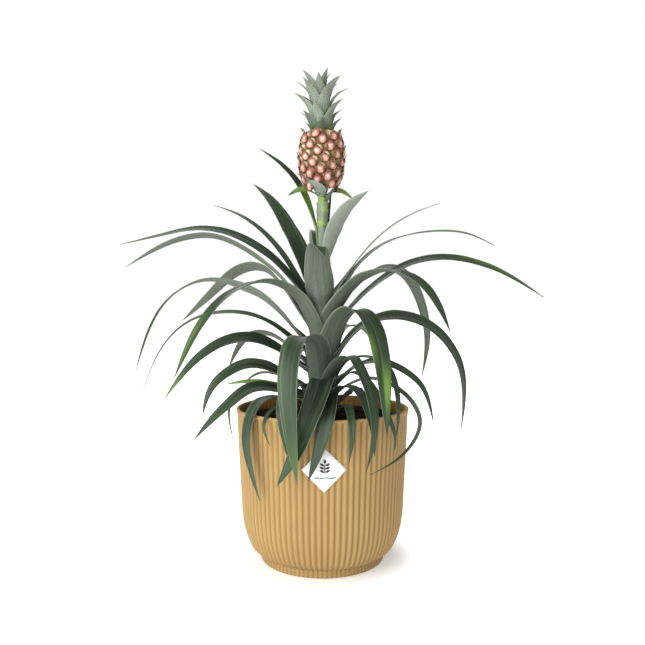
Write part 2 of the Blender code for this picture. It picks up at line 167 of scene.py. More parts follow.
# Each blade: azimuth of its base in degrees (0 is +X, 90 is +Y), width in mm, roll and twist in
# degrees, base height in mm, then stops along its midrib, each (reach, height) in mm in the upright
# plane of that azimuth, with a third value where the blade swings sideways out of that plane.
LEAVES = {
    "leaf_left_top_slim": (172, 8.5, -35, 0, 267, [(17, 299), (33, 319), (52, 333)]),
    "leaf_left_top_broad": (135, 17.5, -15, 0, 208, [(21, 241), (41, 271), (63, 296), (88, 314)]),
    "leaf_left_slim_upright": (140, 5.5, -30, 0, 198, [(32, 234), (69, 270), (102, 288), (132, 298)]),
    "leaf_left_long": (170, 10.5, -35, 0, 204, [(33, 235), (65, 259), (100, 269), (140, 264), (175, 257)]),
    "leaf_left_long_pale": (
        158, 9.5, 35, 0, 194,
        [(35, 226), (66, 249), (100, 264), (142, 262), (195, 240)],
    ),
    "leaf_left_back_pale": (140, 13, 40, 0, 184, [(42, 219), (69, 237), (97, 237), (132, 219), (181, 189)]),
    "leaf_left_turned": (
        150, 11, 100, -180, 168,
        [(36, 194), (60, 212), (89, 223), (123, 227), (171, 207), (210, 140)],
    ),
    "leaf_left_arched": (
        212, 16.5, 20, -55, 183,
        [(21, 209), (38, 221, -2), (57, 223, -3), (83, 211, -7), (120, 151, -15)],
    ),
    "leaf_left_thread": (
        170, 6, -30, 0, 164,
        [(30, 181), (51, 194), (85, 199), (118, 189), (140, 167), (157, 130)],
    ),
    "leaf_left_middle": (190, 14, -38, 0, 150, [(35, 169), (59, 179), (79, 176), (100, 163), (126, 131)]),
    "leaf_left_middle_pale": (150, 10, 35, 0, 154, [(40, 175), (60, 181), (77, 176), (88, 164), (96, 149)]),
    "leaf_left_hooked": (200, 13, -38, 0, 136, [(39, 153), (60, 159), (78, 153), (91, 141), (98, 120)]),
    "leaf_left_small_pale": (148, 6, 30, 0, 136, [(47, 146), (64, 146), (82, 136)]),
    "leaf_left_lime": (168, 9, -30, 0, 130, [(44, 139), (62, 141), (84, 138)]),
    "leaf_left_low": (208, 13, -35, 0, 128, [(41, 139), (62, 141), (78, 132), (93, 120), (108, 105)]),
    "leaf_left_hanging": (222, 14, 0, 0, 122, [(47, 134), (64, 132), (74, 118), (76, 85, 5), (72, 61, 11)]),
    "leaf_left_curled": (
        165, 7, 20, 0, 122,
        [(52, 136, 2), (72, 132, 5), (78, 120, 8), (77, 108, 11), (73, 93, 13)],
    ),
    "leaf_left_tucked": (231, 5, 0, 0, 117.6, [(42, 126.5), (66, 126, 3), (75, 117, 6), (75, 104, 12)]),
    "leaf_front_left": (
        -100, 20.5, 0, 0, 144,
        [(20, 166), (41, 180, -1), (60, 181, -7), (76, 166, -10), (86, 139, -9), (84, 80, -3)],
    ),
    "leaf_front_middle": (
        -88, 20, 0, 0, 132,
        [(30, 147), (46, 149, -2), (65, 138, -7), (76, 124, -13), (78, 110, -18), (75, 77, -35)],
    ),
    "leaf_front_tucked": (
        -116, 13, 0, 0, 126,
        [(36, 144), (60, 140), (73, 128, 4), (74, 105, 8), (71, 88, 10)],
    ),
    "leaf_front_low": (
        -80, 16, 0, 0, 120,
        [(33, 136, -1), (56, 134, -6), (71, 124, -10), (75, 103, -16), (73, 81, -23)],
    ),
    "leaf_front_small": (-66, 8, 0, 0, 118, [(40, 126.5), (61, 130, -6), (74, 119, -10), (73, 92, -12)]),
    "leaf_front_right": (
        -58, 20, -10, 15, 156,
        [(16, 181), (33, 199), (53, 201), (72, 187, -1), (85, 166, -4), (93, 113, -5)],
    ),
    "leaf_front_right_inner": (
        -62, 10, 0, 0, 142,
        [(27, 161), (45, 166), (65, 156, -2), (79, 140, -3), (84, 121, -3), (79, 86, -7)],
    ),
    "leaf_front_right_low": (
        -60, 10, 0, 0, 130,
        [(33, 142), (52, 141), (70, 131, -3), (79, 116, -4), (81, 97, -4)],
    ),
    "leaf_right_folded": (
        -35, 8, 0, 0, 146,
        [(22, 160), (41, 165, -1), (61, 159, -3), (72, 145, -8), (76, 131, -11), (74, 105, -11)],
    ),
    "leaf_right_forked": (
        -48, 7, 0, 0, 138,
        [(36, 153, -2), (60, 145, -5), (76, 127, -6), (81, 108, -2), (76, 94, 1)],
    ),
    "leaf_right_ribbon": (
        -26, 4, 20, 60, 134,
        [(39, 147, -1), (69, 140, -6), (80, 131, -8), (86, 119, -10), (82, 101, -20), (63, 85, -54)],
    ),
    "leaf_right_low": (-25, 8.5, 30, 0, 142, [(29, 156), (48, 161), (66, 156), (82, 145), (93, 115)]),
    "leaf_right_top": (-30, 15.5, -30, 0, 243, [(8, 257), (15, 271, -2), (27, 284, -3), (43, 293, -4)]),
    "leaf_right_sliver": (60, 4, 0, 0, 253, [(10, 281), (15, 300)]),
    "leaf_right_hair": (32, 4, -30, 0, 209, [(27, 234), (56, 263), (97, 287), (125, 297)]),
    "leaf_right_slim": (8, 6, 35, -60, 201, [(27, 235), (52, 256), (90, 266), (125, 264), (146, 255)]),
    "leaf_right_long": (
        -15, 12, 32, 0, 188,
        [(27, 207), (51, 227), (79, 240), (113, 240), (143, 229), (171, 211)],
    ),
    "leaf_right_broad": (-38, 16, -20, 40, 194, [(23, 214), (47, 229), (73, 230), (97, 216), (115, 186)]),
    "leaf_right_back_pale": (
        40, 12.5, -20, 0, 192,
        [(36, 222), (72, 238), (98, 232), (118, 209), (128, 177), (121, 138)],
    ),
    "leaf_right_arched": (
        -8, 14, 35, 0, 160,
        [(27, 184), (48, 195), (71, 195), (92, 184), (109, 160), (111, 105)],
    ),
    "leaf_centre_sheath": (-100, 24, 0, 0, 203, [(15, 224, -1), (24, 241), (36, 250, 3), (47, 241, 10)]),
    "leaf_back_right": (58, 13, 0, 0, 166, [(25, 182), (52, 187), (84, 177), (105, 147)]),
    "leaf_back_top": (98, 15, 0, 0, 240, [(14, 259), (27, 268), (48, 264), (66, 246)]),
    "leaf_back_middle": (92, 15, 0, 0, 176, [(24, 198), (50, 206), (82, 190), (104, 154)]),
    "leaf_back_left_low": (108, 13, 0, 0, 148, [(30, 164), (58, 168), (86, 152), (99, 118)]),
    "leaf_back_right_low": (86, 13, 0, 0, 134, [(34, 146), (60, 146), (80, 130), (90, 100)]),
}

WITHERED_LEAF = (64, 8, 0, 0, 120, [(49, 126), (78, 128), (95, 118)])

BRACTS = {
    "bract_left": (200, 6.5, -50, 0, 294.5, [(15, 298), (29, 292)]),
    "bract_hooked": (230, 2.6, 0, 0, 294, [(11, 298.5), (19, 304.5), (30.5, 306.5)]),
    "bract_front": (-90, 8.5, 0, 0, 293.5, [(11, 296.5, -1), (18, 303, -11)]),
    "bract_small": (-42, 4.5, 0, 0, 290, [(9, 294.5), (13, 299)]),
    "bract_right": (12, 6, 55, 0, 295.5, [(12, 298), (26, 291)]),
}


def mesh_object(name, points, faces, surface, facts=None):
    """An object of that mesh, its faces turned outward, with each of facts as a value per point."""
    points = np.asarray(points, float)
    faces = [list(face) for face in faces]
    corners = np.array([(face[0], face[i], face[i + 1]) for face in faces for i in range(1, len(face) - 1)])
    a, b, c = points[corners[:, 0]], points[corners[:, 1]], points[corners[:, 2]]
    if np.einsum("ij,ij->i", a, np.cross(b, c)).sum() < 0:
        faces = [face[::-1] for face in faces]
    mesh = bpy.data.meshes.new(name)
    mesh.from_pydata(points.tolist(), [], faces)
    for fact, values in (facts or {}).items():
        layer = mesh.attributes.new(fact, "FLOAT", "POINT")
        layer.data.foreach_set("value", np.asarray(values, np.float32).ravel())
    mesh.materials.append(surface)
    mesh.shade_smooth()
    mesh.update()
    return add_object(name, mesh)


def tube_faces(rings, count, first=0):
    """Faces that join that many rings of count points each, closed round and at both ends."""
    faces = []
    for i in range(rings - 1):
        low = first + i * count
        for j in range(count):
            k = (j + 1) % count
            faces.append((low + j, low + k, low + count + k, low + count + j))
    faces.append(tuple(range(first + count - 1, first - 1, -1)))
    faces.append(tuple(range(first + (rings - 1) * count, first + rings * count)))
    return faces


def round_point(radius, angle, height, x=0.0):
    """A point at that radius and angle round an upright axis through x."""
    return (x + radius * math.cos(angle), radius * math.sin(angle), height)


def level_ways(angle):
    """Level unit vectors outward from the axis at that angle, and sideways."""
    outward = np.array([math.cos(angle), math.sin(angle), 0.0])
    return outward, np.array([-math.sin(angle), math.cos(angle), 0.0])


def add_object(name, data):
    made = bpy.data.objects.new(name, data)
    bpy.context.scene.collection.objects.link(made)
    return made


def ease(low, high, value):
    """0 below low, 1 above high, and a smooth step between."""
    share = np.clip((np.asarray(value, float) - low) / (high - low), 0.0, 1.0)
    return share * share * (3 - 2 * share)


# ---------------------------------------------------------------- materials


class Surface:
    """A material's node tree, with short calls for the nodes that the materials here are made of."""

    def __init__(self, name):
        self.material = bpy.data.materials.new(name)
        self.material.use_nodes = True
        self.tree = self.material.node_tree
        self.shader = self.tree.nodes["Principled BSDF"]

    def put(self, socket, value):
        """Links a node's output to a socket, or sets a plain value on it."""
        if isinstance(value, bpy.types.NodeSocket):
            self.tree.links.new(value, socket)
        elif isinstance(value, tuple) and socket.type == "RGBA":
            socket.default_value = (*value, 1.0)
        else:
            socket.default_value = value

    def shade(self, **sockets):
        """Sets the shader's sockets: base_color sets Base Color, and so on."""
        names = {s.name.lower().replace(" ", "_"): s for s in self.shader.inputs}
        for name, value in sockets.items():
            self.put(names[name], value)

    def fact(self, name):
        """A value stored on the mesh's points."""
        node = self.tree.nodes.new("ShaderNodeAttribute")
        node.attribute_name = name
        return node.outputs["Fac"]

    def place(self):
        """The point's place on the object, in metres."""
        return self.tree.nodes.new("ShaderNodeTexCoord").outputs["Object"]

    def vector(self, x, y, z):
        node = self.tree.nodes.new("ShaderNodeCombineXYZ")
        for socket, value in zip(node.inputs, (x, y, z)):
            self.put(socket, value)
        return node.outputs[0]

    def seen(self):
        """1 where the floor is seen directly, 0 where it only lights the plant."""
        return self.tree.nodes.new("ShaderNodeLightPath").outputs["Is Camera Ray"]

    def sum(self, a, b, how="ADD"):
        node = self.tree.nodes.new("ShaderNodeMath")
        node.operation = how
        self.put(node.inputs[0], a)
        self.put(node.inputs[1], b)
        return node.outputs[0]

    def times(self, a, b):
        return self.sum(a, b, "MULTIPLY")

    def length(self, vector):
        node = self.tree.nodes.new("ShaderNodeVectorMath")
        node.operation = "LENGTH"
        self.put(node.inputs[0], vector)
        return node.outputs["Value"]

    def noise(self, where, scale, detail, roughness):
        node = self.tree.nodes.new("ShaderNodeTexNoise")
        self.put(node.inputs["Vector"], where)
        node.inputs["Scale"].default_value = scale
        node.inputs["Detail"].default_value = detail
        node.inputs["Roughness"].default_value = roughness
        return node.outputs["Fac"]

    def grain(self, scale, detail=3.0, roughness=0.55):
        """Noise through the object, finer the larger its scale."""
        return self.noise(self.place(), scale, detail, roughness)

    def streaks(self, across, along, seed=0.0, detail=2.0, roughness=0.5):
        """Noise drawn out along a blade, at that many turns over its half width and its length."""
        along = self.times(self.fact("along"), along)
        return self.noise(self.vector(across, along, seed), 1.0, detail, roughness)

    def margin(self, low, high):
        """0 in the middle of a blade, 1 along its two edges."""
        return self.span(self.sum(self.fact("across"), 0.0, "ABSOLUTE"), low, high)

    def span(self, value, low, high, to_low=0.0, to_high=1.0, smooth=True):
        """value, mapped from low..high to to_low..to_high, and held inside them."""
        node = self.tree.nodes.new("ShaderNodeMapRange")
        node.interpolation_type = "SMOOTHSTEP" if smooth else "LINEAR"
        self.put(node.inputs["Value"], value)
        for name, number in zip(("From Min", "From Max", "To Min", "To Max"), (low, high, to_low, to_high)):
            self.put(node.inputs[name], number)
        return node.outputs["Result"]

    def mix(self, share, a, b):
        """From colour a at share 0 to colour b at share 1."""
        node = self.tree.nodes.new("ShaderNodeMix")
        node.data_type = "RGBA"
        sockets = [s for s in node.inputs if s.enabled]
        for socket, value in zip(sockets, (share, a, b)):
            self.put(socket, value)
        return next(s for s in node.outputs if s.enabled)

    def bump(self, height, distance, strength=1.0):
        node = self.tree.nodes.new("ShaderNodeBump")
        node.inputs["Distance"].default_value = distance
        node.inputs["Strength"].default_value = strength
        self.put(node.inputs["Height"], height)
        self.put(self.shader.inputs["Normal"], node.outputs["Normal"])


def leaf_surface():
    """Grey-green blade: dark waxy upper face with painted sheen, pale mealy underside, fine veins and a pale
    margin.
    """
    s = Surface("pineapple_leaf")
    across, along = s.fact("across"), s.fact("along")
    under, tone, lime = s.fact("under"), s.fact("tone"), s.fact("lime")
    seed = s.times(tone, 40.0)
    bands = s.streaks(s.times(across, 2.6), 0.9, seed)
    veins = s.streaks(s.times(across, 8.0), 1.6, seed)
    fine = s.streaks(s.times(s.times(across, s.fact("broad")), 26.0), 3.0, seed, 1.0)
    meal = s.grain(900.0, 2.0, 0.6)

    fresh = s.mix(s.span(along, 0.3, 0.95), (0.008, 0.017, 0.008), (0.017, 0.050, 0.011))
    fresh = s.mix(s.span(tone, 0.0, 1.0, 0.0, 0.7), fresh, (0.042, 0.070, 0.036))
    # Grey streaks of waxy bloom, made lighter to paint in the sheen on the upper face.
    bloom_and_sheen = s.mix(s.span(veins, 0.35, 0.7), (0.026, 0.044, 0.024), (0.110, 0.145, 0.095))
    upper = s.mix(s.times(s.span(bands, 0.42, 0.66), 0.75), fresh, bloom_and_sheen)
    upper = s.mix(s.span(fine, 0.45, 0.75, 0.0, 0.3), upper, (0.08, 0.13, 0.06))
    lower = s.mix(s.span(veins, 0.3, 0.7), (0.075, 0.098, 0.066), (0.130, 0.155, 0.118))
    lower = s.mix(s.span(bands, 0.40, 0.65, 0.0, 0.6), lower, (0.155, 0.182, 0.145))
    lower = s.mix(s.span(fine, 0.4, 0.75, 0.0, 0.3), lower, (0.19, 0.22, 0.17))
    lower = s.mix(s.span(meal, 0.45, 0.7, 0.0, 0.3), lower, (0.20, 0.20, 0.165))
    lower = s.mix(s.span(tone, 0.4, 1.0, 0.0, 0.8), lower, (0.34, 0.385, 0.31))
    colour = s.mix(under, upper, lower)
    colour = s.mix(s.times(lime, s.span(fine, 0.2, 0.8, 0.75, 1.0)), colour, (0.20, 0.36, 0.055))
    margin = s.margin(0.90, 0.97)
    colour = s.mix(s.times(margin, s.times(s.fact("broad"), 0.55)), colour, (0.27, 0.34, 0.22))
    colour = s.mix(s.times(s.span(along, 0.975, 1.0), 0.7), colour, (0.16, 0.10, 0.05))
    # Painted shade: darker green low on the base, where it is tucked into the rosette.
    colour = s.mix(s.fact("tucked"), colour, (0.050, 0.070, 0.030))
    s.shade(base_color=colour, roughness=s.mix(under, (0.40,) * 3, (0.62,) * 3), specular_ior_level=0.42)
    s.bump(s.sum(s.times(veins, 0.8), s.sum(s.times(fine, 0.4), s.times(meal, 0.15))), 0.16 * MM)
    return s.material


def pot_surface():
    """Butter-tan moulded plastic with a fine matt grain, and painted shade in the rib grooves and inside."""
    s = Surface("butter_plastic")
    broad = s.grain(22.0, 3.0)
    grain = s.grain(2600.0, 2.0)
    colour = s.mix(s.span(broad, 0.35, 0.65), (0.432, 0.284, 0.110), (0.465, 0.311, 0.122))
    # Painted shade in the grooves between the ribs.
    colour = s.mix(s.times(s.fact("groove_shade"), 0.65), colour, (0.27, 0.145, 0.038))
    # Painted shade: the inside of the pot, darker and warmer than the outside.
    colour = s.mix(s.times(s.fact("inside"), 0.85), colour, (0.34, 0.175, 0.030))
    s.shade(base_color=colour, roughness=s.span(grain, 0.3, 0.7, 0.46, 0.58), specular_ior_level=0.28)
    s.bump(grain, 0.05 * MM)
    return s.material


def nursery_surface():
    """Thin black growing pot, scuffed and dusted with soil."""
    s = Surface("black_nursery_plastic")
    dust = s.grain(300.0, 5.0, 0.7)
    colour = s.mix(s.span(dust, 0.5, 0.75), (0.012, 0.012, 0.012), (0.045, 0.033, 0.025))
    s.shade(base_color=colour, roughness=s.span(dust, 0.3, 0.7, 0.35, 0.8))
    s.bump(dust, 0.1 * MM)
    return s.material


def soil_surface():
    """Dark granular peat with brown fibres and a few pale specks."""
    s = Surface("potting_soil")
    clod = s.grain(260.0, 6.0, 0.7)
    speck = s.grain(900.0, 2.0, 0.5)
    colour = s.mix(s.span(clod, 0.35, 0.7), (0.003, 0.002, 0.0015), (0.022, 0.011, 0.007))
    colour = s.mix(s.times(s.fact("tone"), 0.8), colour, (0.105, 0.050, 0.032))
    colour = s.mix(s.span(speck, 0.70, 0.78, 0.0, 0.6), colour, (0.26, 0.19, 0.13))
    s.shade(base_color=colour, roughness=0.95, specular_ior_level=0.12)
    s.bump(s.sum(clod, s.times(speck, 0.5)), 0.9 * MM)
    return s.material


def label_surface():
    """White coated paper with a faint fibre."""
    s = Surface("label_paper")
    fibre = s.grain(1800.0, 4.0, 0.6)
    colour = s.mix(s.span(fibre, 0.3, 0.7), (0.95, 0.95, 0.955), (0.98, 0.98, 0.985))
    s.shade(base_color=colour, roughness=0.38)
    s.bump(fibre, 0.02 * MM)
    return s.material


def ink_surface(name, dark, light):
    """Printed ink, a little uneven."""
    s = Surface(name)
    grain = s.grain(2200.0, 3.0, 0.6)
    s.shade(base_color=s.mix(s.span(grain, 0.3, 0.8), dark, light), roughness=0.42)
    return s.material


def stem_surface():
    """Stalk: lime where it is bare, under a grey meal elsewhere, and sheathed in green below."""
    s = Surface("stem")
    streak = s.streaks(s.times(s.fact("across"), 9.0), 6.0, 0.0, 4.0, 0.6)
    meal = s.grain(900.0, 4.0, 0.65)
    grey = s.mix(s.span(streak, 0.3, 0.7), (0.16, 0.20, 0.14), (0.25, 0.30, 0.225))
    bare = s.mix(s.span(streak, 0.3, 0.7), (0.20, 0.33, 0.065), (0.33, 0.46, 0.12))
    colour = s.mix(s.fact("lime"), grey, bare)
    colour = s.mix(s.span(meal, 0.55, 0.72, 0.0, 0.5), colour, (0.42, 0.48, 0.38))
    s.shade(base_color=colour, roughness=0.5, specular_ior_level=0.45)
    s.bump(s.sum(streak, s.times(meal, 0.4)), 0.25 * MM)
    return s.material


def fruit_surface():
    """Cream-olive eyes parted by dark olive seams, under salmon bracts with red-brown margins."""
    s = Surface("fruit_skin")
    seam, bract, edge = s.fact("seam"), s.fact("bract"), s.fact("edge")
    mottle = s.grain(420.0, 4.0, 0.65)
    fine = s.grain(1500.0, 3.0, 0.6)
    eye = s.mix(s.span(mottle, 0.35, 0.7), (0.36, 0.30, 0.12), (0.66, 0.56, 0.36))
    eye = s.mix(s.times(s.fact("pale"), s.span(fine, 0.3, 0.6, 0.4, 1.0)), eye, (0.82, 0.72, 0.56))
    eye = s.mix(s.times(s.fact("low"), 0.8), eye, (0.17, 0.16, 0.045))
    eye = s.mix(s.times(s.fact("rim"), s.span(mottle, 0.35, 0.55)), eye, (0.24, 0.066, 0.026))
    colour = s.mix(seam, eye, (0.120, 0.100, 0.020))
    scale = s.mix(s.span(mottle, 0.35, 0.7), (0.66, 0.25, 0.17), (0.84, 0.42, 0.31))
    scale = s.mix(s.span(fine, 0.52, 0.66, 0.0, 0.55), scale, (0.36, 0.105, 0.055))
    scale = s.mix(s.times(s.fact("shine"), s.span(fine, 0.35, 0.6, 1.0, 0.55)), scale, (0.98, 0.86, 0.82))
    scale = s.mix(s.times(edge, s.span(mottle, 0.3, 0.55, 0.6, 1.0)), scale, (0.15, 0.036, 0.014))
    colour = s.mix(bract, colour, scale)
    s.shade(base_color=colour, roughness=s.span(fine, 0.3, 0.7, 0.34, 0.5), specular_ior_level=0.5)
    s.bump(s.sum(mottle, s.times(fine, 0.6)), 0.35 * MM)
    return s.material


def crown_surface():
    """Mealy grey-green leaflets, green inside and in their axils, the low ones dark."""
    s = Surface("crown_leaflet")
    across, along, under, tone = s.fact("across"), s.fact("along"), s.fact("under"), s.fact("tone")
    veins = s.noise(s.vector(s.times(across, 6.0), s.times(along, 1.5), s.times(tone, 30.0)), 1.0, 2.0, 0.5)
    colour = s.mix(s.span(veins, 0.3, 0.7), (0.200, 0.238, 0.178), (0.310, 0.350, 0.278))
    inner = s.mix(s.span(along, 0.1, 0.8), (0.20, 0.34, 0.07), (0.10, 0.18, 0.06))
    colour = s.mix(s.times(s.sum(1.0, under, "SUBTRACT"), 0.9), colour, inner)
    colour = s.mix(s.span(along, 0.0, 0.45, 0.55, 0.0), colour, (0.13, 0.24, 0.04))
    colour = s.mix(s.times(tone, 0.75), colour, (0.026, 0.040, 0.021))
    colour = s.mix(s.times(s.margin(0.86, 0.97), 0.5), colour, (0.30, 0.37, 0.24))
    s.shade(base_color=colour, roughness=0.6, specular_ior_level=0.35)
    s.bump(veins, 0.06 * MM)
    return s.material


def dry_surface():
    """Dead leaf, dark brown and shrivelled."""
    s = Surface("dry_leaf")
    crease = s.streaks(s.times(s.fact("across"), 8.0), 9.0, 0.0, 5.0, 0.7)
    colour = s.mix(s.span(crease, 0.3, 0.7), (0.012, 0.009, 0.006), (0.055, 0.038, 0.024))
    s.shade(base_color=colour, roughness=0.85, specular_ior_level=0.3)
    s.bump(crease, 0.8 * MM)
    return s.material


def floor_surface():
    """Pale studio floor that brightens away from the plant, into the white behind it."""
    s = Surface("studio_floor")
    away = s.length(s.place())
    glow = s.times(s.span(away, *FLOOR_FADE, *FLOOR_GLOW), s.span(s.seen(), 0.0, 1.0, FLOOR_BOUNCE, 1.0))
    s.shade(base_color=(0.86, 0.86, 0.86), roughness=0.9, specular_ior_level=0.0)
    s.shade(emission_color=(1.0, 1.0, 1.0), emission_strength=glow)
    return s.material


# ---------------------------------------------------------------- blades


def stem_radius(height):
    return np.interp(height, STEM_HEIGHTS, STEM_RADII)


def route_points(azimuth, base, route):
    """The blade's midrib as points in metres, from the stem outwards."""
    outward, sideways = level_ways(math.radians(azimuth))
    start = (stem_radius(base * MM) / MM + 1.6, base)
    points = []
    for reach, height, *aside in [start, *route]:
        point = outward * reach + sideways * sum(aside)
        point[2] = height
        points.append(point * MM)
    return np.array(points)


def smooth_curve(points, count):
    """count points, evenly spaced, on the natural cubic spline through the given points."""
    gaps = np.linalg.norm(np.diff(points, axis=0), axis=1)
    knots = np.concatenate([[0.0], np.cumsum(gaps)])
    n = len(points)
    system = np.eye(n)
    right = np.zeros((n, 3))
    for i in range(1, n - 1):
        system[i, i - 1 : i + 2] = gaps[i - 1], 2 * (gaps[i - 1] + gaps[i]), gaps[i]
        right[i] = 6 * ((points[i + 1] - points[i]) / gaps[i] - (points[i] - points[i - 1]) / gaps[i - 1])
    bends = np.linalg.solve(system, right)
    found = []
    for s in np.linspace(0.0, knots[-1], count):
        k = min(int(np.searchsorted(knots, s, side="right")) - 1, n - 2)
        h = gaps[k]
        a, b = (knots[k + 1] - s) / h, (s - knots[k]) / h
        curve = a * points[k] + b * points[k + 1]
        curve += ((a**3 - a) * bends[k] + (b**3 - b) * bends[k + 1]) * h * h / 6
        found.append(curve)
    return np.array(found)


def unit(vector):
    return vector / np.linalg.norm(vector)


def blade_frames(curve, shares, azimuth, roll, twist):
    """(side, face) along the midrib. Before roll and twist the face looks up and in to the stem."""
    side = level_ways(math.radians(azimuth))[1]
    frames = []
    for share, along in zip(shares, np.gradient(curve, axis=0)):
        along = unit(along)
        side = unit(side - along * side.dot(along))
        turn = math.radians(roll * min(1.0, 3 * share) + twist * share**2 * (3 - 2 * share))
        turned = side * math.cos(turn) + np.cross(along, side) * math.sin(turn)
        frames.append((turned, np.cross(along, turned)))
    return frames


def clasp_points(azimuth, base, length, loose):
    """The midrib of the leaf's base, which clasps the stem below the height where the blade leaves it.

    loose is how much wider than the stem the base is, where it is widest.
    """
    angle = math.radians(azimuth)
    low = max(base * MM - length, SOIL_TOP - 1.0 * MM)
    points = []
    for share in np.arange(CLASP_STATIONS) / CLASP_STATIONS:
        height = low + (base * MM - low) * share
        reach = stem_radius(height) + (0.2 + 1.4 * share**2) * MM + loose * math.sin(math.pi * share) ** 2
        points.append(round_point(reach, angle, height))
    return np.array(points)


def blade_half_width(share, width, foot):
    """Half the blade's width: foot where it clasps the stem, then width, then a long taper to a tip."""
    neck = foot + (width / 2 - foot) * ease(0.0, 0.28, share)
    taper = (1 - share**BLADE_TAPER) ** 0.9
    return max(neck * taper, FINEST_HALF)


def blade_mesh(curve, frames, shares, half_widths, arcs, thickness, ripple=0.0, phase=0.0):
    """Points and facts of a thin closed blade whose section is an arc, its edges towards the face."""
    across = np.linspace(-1.0, 1.0, ACROSS)
    points, sides, alongs, unders = [], [], [], []
    for i, (centre, (side, face)) in enumerate(zip(curve, frames)):
        share = shares[i]
        radius = half_widths[i] / arcs[i]
        lift = radius * (1 - np.cos(across * arcs[i]))
        lift = lift - lift.mean() * ease(0.0, 0.15, share)
        wave = np.sin(share * 31 + phase) + 0.6 * np.sin(share * 53 + 2.1 * phase + across)
        lift = lift + ripple * half_widths[i] * across**2 * wave * ease(0.0, 0.2, share)
        offset = radius * np.sin(across * arcs[i])
        rib, edge = thickness[0] * (1 - 0.5 * share), thickness[1] * (1 - 0.4 * share)
        thick = (edge + (rib - edge) * (1 - across**2)) / 2
        middle = centre + side * offset[:, None] + face * lift[:, None]
        upper = middle + face * thick[:, None]
        lower = middle - face * thick[:, None]
        points += [*upper, *lower[::-1]]
        sides += [*across, *across[::-1]]
        alongs += [share] * (2 * ACROSS)
        unders += [0.0] * ACROSS + [1.0] * ACROSS
    facts = {"across": np.array(sides), "along": np.array(alongs), "under": np.array(unders)}
    return points, facts


def lime_stretches(facts, stretches):
    """How lime each point is, from (start, end, side, strength) stretches along the blade."""
    lime = np.zeros(len(facts["along"]))
    for start, end, side, strength in stretches:
        here = ease(start - 0.12, start + 0.05, facts["along"])
        here = here * (1 - ease(end - 0.05, end + 0.12, facts["along"]))
        stripe = 1.0 if side is None else 1 - ease(0.2, 0.75, np.abs(facts["across"] - side))
        lime = np.maximum(lime, strength * here * stripe)
    return lime


def build_blade(name, blade, surface, slot, look):
    """One blade in place of its CAD node, with the base that clasps the stem."""
    azimuth, width, roll, twist, base, route = blade
    clasp = clasp_points(azimuth, base, look.get("clasp", CLASP_LENGTH), look.get("loose", 0.0))
    curve = np.vstack([clasp, smooth_curve(route_points(azimuth, base, route), STATIONS)])
    shares = np.concatenate([np.zeros(CLASP_STATIONS), np.linspace(0.0, 1.0, STATIONS)])
    frames = blade_frames(curve, shares, azimuth, roll, twist)
    foot = look.get("foot", 0.3 * width + 5.2) * MM
    halves = [blade_half_width(share, width * MM, foot) for share in shares]
    wrap = min(1.45, foot / (stem_radius(base * MM) + 1.6 * MM))
    arcs = np.interp(shares, (0.0, 0.1, 0.22, 0.4, 1.0), (wrap, 0.7 * wrap + 0.1, 0.55, 0.42, 0.25))
    arcs = np.maximum(arcs * look.get("gutter", 1.0), 0.1)
    phase = sum(map(ord, name)) % 17
    thickness = (RIB_THICKNESS, EDGE_THICKNESS)
    ripple = look.get("ripple", 0.02)
    points, facts = blade_mesh(curve, frames, shares, halves, arcs, thickness, ripple, phase)
    facts["lime"] = lime_stretches(facts, look.get("lime", ()))
    facts["tone"] = np.full(len(points), look.get("tone", (phase % 10) / 14))
    if look.get("pale_inside"):
        facts["under"] = np.maximum(facts["under"], 1 - ease(0.15, 0.35, facts["along"]))
    facts["broad"] = np.full(len(points), min(1.0, (width / BROAD) ** 2))
    # Painted shade on the clasping base: strongest at its bottom, gone where the blade leaves the stem.
    depth = np.concatenate([np.linspace(1.0, 0.0, CLASP_STATIONS), np.zeros(STATIONS)])
    facts["tucked"] = np.repeat(look.get("tucked", 0.75) * depth**1.5, 2 * ACROSS)
    faces = tube_faces(len(curve), 2 * ACROSS)
    settle(mesh_object(name + "_blade", points, faces, surface, facts), slot, name)


def settle(piece, slot, *nodes):
    """The piece stands for those CAD nodes and rides on the plant's body; slot is not used."""
    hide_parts(*nodes)
    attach(piece, BODY)


